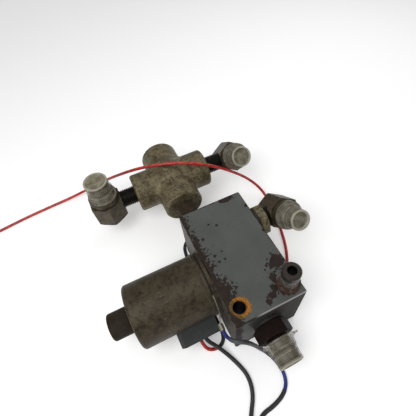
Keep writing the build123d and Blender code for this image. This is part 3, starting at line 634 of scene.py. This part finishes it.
# What all tubes share, and sleeves over the leads from one share of the lead's length to another
tubeShape = {"bevel": 5, "order": 3, "between": 10}
sleeves = {
    "blueSleeve": {"lead": "blueLead", "from": 0.075, "to": 0.60, "radius": 1.62, "finish": sleeveGrey},
    "blueConduit": {"lead": "blueLead", "from": 0.715, "to": 0.985, "radius": 1.55,
                    "finish": finishes["black_insulation"]},
    # Over the red lead's first loop a black tube covers the red, so the lead is drawn black where it looks
    # dark
    "redLeadDarkPart": {"lead": "redLead", "from": 0.031, "to": 0.186, "radius": 1.55,
                  "finish": finishes["black_insulation"]},
}


def tubeAlong(name, kind, points, radius):
    curve = bpy.data.curves.new(name, "CURVE")
    curve.dimensions = "3D"
    spline = curve.splines.new(kind)
    spline.points.add(len(points) - 1)
    for knot, point in zip(spline.points, points):
        knot.co = (*point, 1)
    curve.bevel_depth = radius * mm
    curve.bevel_resolution = tubeShape["bevel"]
    curve.use_fill_caps = True
    return linked(name, curve)


def leadCurve(name, points, radius):
    piece = tubeAlong(name, "NURBS", [Vector(point) * mm for point in points], radius)
    spline = piece.data.splines[0]
    spline.order_u = tubeShape["order"]
    spline.use_endpoint_u = True
    spline.resolution_u = tubeShape["between"]
    return piece


def routeOf(points):
    # The points that the lead's own line passes through
    line = leadCurve("route", points, 0)
    mesh = bpy.data.meshes.new_from_object(line)
    route = [vert.co.copy() for vert in mesh.vertices]
    bpy.data.objects.remove(line)
    bpy.data.meshes.remove(mesh)
    return route


def partOfRoute(route, start, end):
    lengths = [0.0]
    for a, b in zip(route, route[1:]):
        lengths.append(lengths[-1] + (b - a).length)
    total = lengths[-1]
    return [point for point, length in zip(route, lengths) if start * total <= length <= end * total]


def makeLeads():
    for name, facts in leads.items():
        ridesOn(leadCurve(name, facts["points"], facts["radius"]), "valve", facts["slot"],
                             finishes[facts["slot"]], facts["node"])
    extras = {name: [] for name in leads}
    for name, sleeve in sleeves.items():
        route = partOfRoute(routeOf(leads[sleeve["lead"]]["points"]), sleeve["from"], sleeve["to"])
        tube = tubeAlong(name, "POLY", route, sleeve["radius"])
        extras[sleeve["lead"]].append(ridesOn(tube, "valve", "black_insulation", sleeve["finish"]))
    extras["redLead"].append(nodes["red_connector"])
    extras["blackLead"].append(nodes["lead_plug"])
    for name, facts in leads.items():
        "connector" if name == "redLead" else "plug"


makeLeads()
print("leads laid")

# Threaded nipples: all have one thread, and each has its start, direction and length
nippleThread = {"radius": 8.45, "depth": 0.85, "pitch": 1.8}
nipples = {
    "crossNipple": {"node": "cross_nipple", "start": (-15.5, 37.5, 37.0), "way": (0, 1, 0), "length": 44.0,
                    "finish": crossThread},
    "leftNipple": {"node": "left_nipple", "start": (-40.5, 106.2, 37.0), "way": (-1, 0, 0), "length": 32.5,
                   "finish": finishes["pipe_steel"]},
    "rightNipple": {"node": "right_nipple", "start": (9.5, 106.2, 37.0), "way": (1, 0, 0), "length": 34.5,
                    "finish": finishes["pipe_steel"]},
    "sideNipple": {"node": "side_nipple", "start": (16.0, 21.6, 45.5), "way": (1, 0, 0), "length": 30.0,
                   "finish": finishes["pipe_steel"]},
}
for name, nipple in nipples.items():
    rod = threadedPiece(name, nippleThread["radius"], nippleThread["depth"], nippleThread["pitch"],
                        nipple["length"], nipple["start"], nipple["way"])
    ridesOn(rod, "valve", "pipe_steel", nipple["finish"], nipple["node"])
print("nipples threaded")


def leaning(degrees):
    # Straight up, leaned over towards the near end
    tilt = math.radians(degrees)
    return (0, -math.sin(tilt), math.cos(tilt))


# Studs and caps. A stud begins at its shoulder, which stands off the base along the stud's own way,
# and its offset is how far above the shoulder the cap begins.
studs = {
    "near": {"base": (-1.3, -61.5, 30.0), "way": (0, -1, 0), "shoulder": 0.0, "radius": 7.9,
             "length": 16.3, "offset": 2.0, "flange": 2.0, "dish": 0.9},
    "left": {"base": (-79.0, 106.2, 37.0), "way": (0, 0, 1), "shoulder": 14.5, "radius": 8.9,
             "length": 17.1, "offset": 0.5, "flange": 0.7, "dish": 0.35},
    "right": {"base": (49.5, 106.2, 37.0), "way": leaning(49.0), "shoulder": 14.5, "radius": 7.9,
              "length": 14.1, "offset": 0.5, "flange": 2.0, "dish": 1.3},
    "side": {"base": (52.0, 21.6, 45.5), "way": leaning(52.0), "shoulder": 14.5, "radius": 6.9,
             "length": 15.1, "offset": 0.5, "flange": 2.0, "dish": 1.5},
}
studThread = {"pitch": 1.5, "proud": 0.22, "depth": 0.6, "from": 3.2, "short": 1.6}
cap = {"gap": 0.35, "wall": 1.1, "taper": 1.6, "flangeHeight": 1.4, "endGap": 1.6, "stepShare": 0.42,
       "dishInside": 0.8, "rimWidth": 1.6, "edge": 0.22, "steps": 80}
ear = {"radius": 1.9, "thickness": 1.3, "reach": 0.4, "side": (1, 0, 0.35), "edge": 0.3, "steps": 32}


def shoulderOf(name):
    stud = studs[name]
    return Vector(stud["base"]) + Vector(stud["way"]) * stud["shoulder"]


def addStudThread(name):
    stud = studs[name]
    start = shoulderOf(name) + Vector(stud["way"]) * studThread["from"]
    length = stud["length"] - studThread["from"] - studThread["short"] - studThread["pitch"]
    thread = threadedPiece(name + "StudThread", stud["radius"] + studThread["proud"], studThread["depth"],
                           studThread["pitch"], length, start, stud["way"])
    ridesOn(thread, "valve", "elbow_steel", studBrown)


def writeRise(shell, name, top, dishRadius):
    # The attribute "rise" is the share of the cap's height, kept below the rim's band in the dish
    way = Vector(studs[name]["way"])
    shoulder = shoulderOf(name)
    rise = shell.data.attributes.new("rise", "FLOAT", "POINT")
    for vert in shell.data.vertices:
        spot = vert.co / mm - shoulder
        height = spot.dot(way)
        share = height / top
        inDish = (spot - way * height).length < dishRadius
        rise.data[vert.index].value = min(share, capBands["dishHighest"]) if inDish else share


def addCap(name):
    stud = studs[name]
    dish = stud["dish"]
    inside = stud["radius"] + cap["gap"]
    outside = inside + cap["wall"]
    low = stud["offset"]
    top = stud["length"] + cap["endGap"] + cap["wall"]
    high = top - cap["wall"] - dish * cap["dishInside"]
    step = low + cap["stepShare"] * (top - low)
    flange = outside + cap["taper"] + stud["flange"]
    flangeTop = low + cap["flangeHeight"]
    # Down the inside from the closed end to the open rim, then up the outside to the dished end
    outline = [
        (0, high), (inside - 0.3, high), (inside, high - 0.3), (inside + 0.2, step + 0.4),
        (inside + 0.75, step - 0.6), (inside + cap["taper"], low),
        (flange, low), (flange, flangeTop), (outside + cap["taper"] * 0.9, flangeTop + 0.2),
        (outside + 0.95, step - 0.5), (outside + 0.15, step + 0.5), (outside, top - 0.7),
        (outside - 0.25, top - 0.2), (outside - 0.8, top), (outside - 1.7, top),
        (outside - 2.3, top - dish), (0, top - dish)]
    shell = spunPiece(name + "Cap", outline, shoulderOf(name), stud["way"], cap["steps"])
    writeRise(shell, name, top, outside - cap["rimWidth"])
    roundEdges(shell, cap["edge"])
    ridesOn(shell, name + "_cap", "cap_plastic", finishes["cap_plastic"], name + "_cap")


def addCapEar(name):
    # A small round pull ear on the rim of the cap's flange
    stud = studs[name]
    rim = stud["radius"] + cap["gap"] + cap["taper"] + cap["wall"] + stud["flange"]
    middle = shoulderOf(name) + Vector(stud["way"]) * (stud["offset"] + cap["flangeHeight"] / 2)
    middle += Vector(ear["side"]).normalized() * (rim + ear["reach"])
    half = ear["thickness"] / 2
    outline = [(0, -half), (ear["radius"], -half), (ear["radius"], half), (0, half)]
    piece = spunPiece(name + "CapEar", outline, middle, stud["way"], ear["steps"])
    roundEdges(piece, ear["edge"])
    ridesOn(piece, name + "_cap", "cap_plastic", finishes["cap_plastic"])


for studName in studs:
    addStudThread(studName)
    addCap(studName)
addCapEar("near")
print("studs and caps made")

# Floor, sky and lights
floorLook = {"reach": 3000.0, "colour": (0.93, 0.93, 0.93, 1), "roughness": 0.9, "gloss": 0.1,
             "glow": 0.25}
white = (1, 1, 1, 1)
skyStrength = 0.45
lamps = {
    "keyLight": {"spot": (-260, -120, 520), "target": (0, 20, 20), "energy": 1.75, "size": 350.0},
    "fillLight": {"spot": (320, 220, 420), "target": (0, 30, 20), "energy": 0.55, "size": 450.0},
}


def addFloor():
    bm = bmesh.new()
    bmesh.ops.create_grid(bm, x_segments=1, y_segments=1, size=floorLook["reach"] * mm)
    floor = finishMesh("floor", bm, Matrix.Identity(4))
    pale = bpy.data.materials.new("floorPale")
    pale.use_nodes = True
    shader = pale.node_tree.nodes["Principled BSDF"]
    shader.inputs["Base Color"].default_value = floorLook["colour"]
    shader.inputs["Roughness"].default_value = floorLook["roughness"]
    shader.inputs["Specular IOR Level"].default_value = floorLook["gloss"]
    shader.inputs["Emission Color"].default_value = white
    shader.inputs["Emission Strength"].default_value = floorLook["glow"]
    floor.data.materials.append(pale)


def addLight():
    world = bpy.data.worlds.new("studio")
    world.use_nodes = True
    sky = world.node_tree.nodes["Background"]
    sky.inputs["Color"].default_value = white
    sky.inputs["Strength"].default_value = skyStrength
    bpy.context.scene.world = world
    for name, facts in lamps.items():
        lamp = bpy.data.lights.new(name, "AREA")
        lamp.energy = facts["energy"]
        lamp.size = facts["size"] * mm
        holder = linked(name, lamp)
        way = (Vector(facts["target"]) - Vector(facts["spot"])).normalized()
        aim = Vector((0, 0, -1)).rotation_difference(way).to_matrix().to_4x4()
        holder.matrix_world = Matrix.Translation(Vector(facts["spot"]) * mm) @ aim


addFloor()
addLight()
print("stage set")
